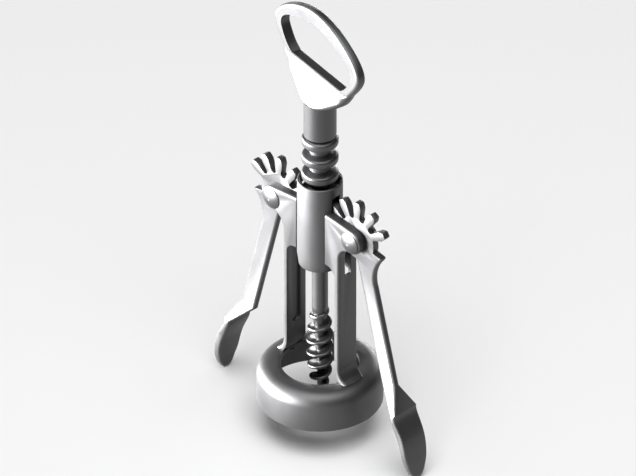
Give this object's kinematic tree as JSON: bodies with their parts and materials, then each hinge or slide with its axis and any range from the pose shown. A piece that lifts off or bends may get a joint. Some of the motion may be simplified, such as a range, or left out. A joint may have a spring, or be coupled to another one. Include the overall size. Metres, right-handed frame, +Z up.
{
  "type": "lever corkscrew",
  "caption": "Wing corkscrew: cast yoke on a bell collar, two toothed levers on rivets, a ringed rack, and a spindle with opener loop and screw worm that turns inside it.",
  "frame": {"origin": "centre of the collar's bottom rim, on the spindle's axis", "axes": "+Z up along the spindle to the handle; X across the two levers; -Y is the side with the domed rivet heads"},
  "size_m": [0.1094, 0.05, 0.195],
  "materials": {
    "cast_frame": "satin plated casting",
    "cast_collar": "satin plated casting",
    "cast_lever": "satin plated casting",
    "cast_handle": "satin plated casting",
    "turned_rack": "lathe-turned, fine rings",
    "turned_spindle": "lathe-turned, fine rings",
    "rivet_steel": "peened and polished",
    "worm_steel": "bright drawn",
    "washer_steel": "plain",
    "spring_steel": "dark spring temper",
    "pin_steel": "plain",
    "bush_brass": "plain"
  },
  "bodies": {
    "frame": {"yoke_frame": "cast_frame", "bell_collar": "cast_collar", "left_pivot_rivet": "rivet_steel", "right_pivot_rivet": "rivet_steel"},
    "rack": {"rack_sleeve": "turned_rack", "upper_thrust_washer": "washer_steel"},
    "spindle": {"spindle_shaft": "turned_spindle", "handle_stem": "turned_spindle", "handle_cross_pin": "pin_steel", "opener_handle": "cast_handle", "worm": "worm_steel", "worm_pin": "pin_steel", "lower_thrust_washer": "washer_steel", "retaining_ring": "spring_steel"},
    "left_lever": {"left_lever": "cast_lever", "left_pivot_bush": "bush_brass"},
    "right_lever": {"right_lever": "cast_lever", "right_pivot_bush": "bush_brass"}
  },
  "joints": [
    {"name": "rack_slide", "type": "slide", "parent": "frame", "child": "rack", "axis": [0, 0, 1], "range_m": [-0.0299, 0.0032]},
    {"name": "spindle_turn", "type": "hinge", "parent": "rack", "child": "spindle", "pos_m": [0, 0, 0.1], "axis": [0, 0, 1], "continuous": true},
    {"name": "left_lever_swing", "type": "hinge", "parent": "frame", "child": "left_lever", "pos_m": [-0.0216, 0, 0.0863], "axis": [0, 1, 0], "range_deg": [-12.3, 112.5]},
    {"name": "right_lever_swing", "type": "hinge", "parent": "frame", "child": "right_lever", "pos_m": [0.0216, 0, 0.0863], "axis": [0, -1, 0], "range_deg": [-12.3, 112.5]}
  ],
  "couplings": [
    {"joint": "left_lever_swing", "follows": "rack_slide", "rad_per_m": -65.45},
    {"joint": "right_lever_swing", "follows": "rack_slide", "rad_per_m": -65.45}
  ]
}
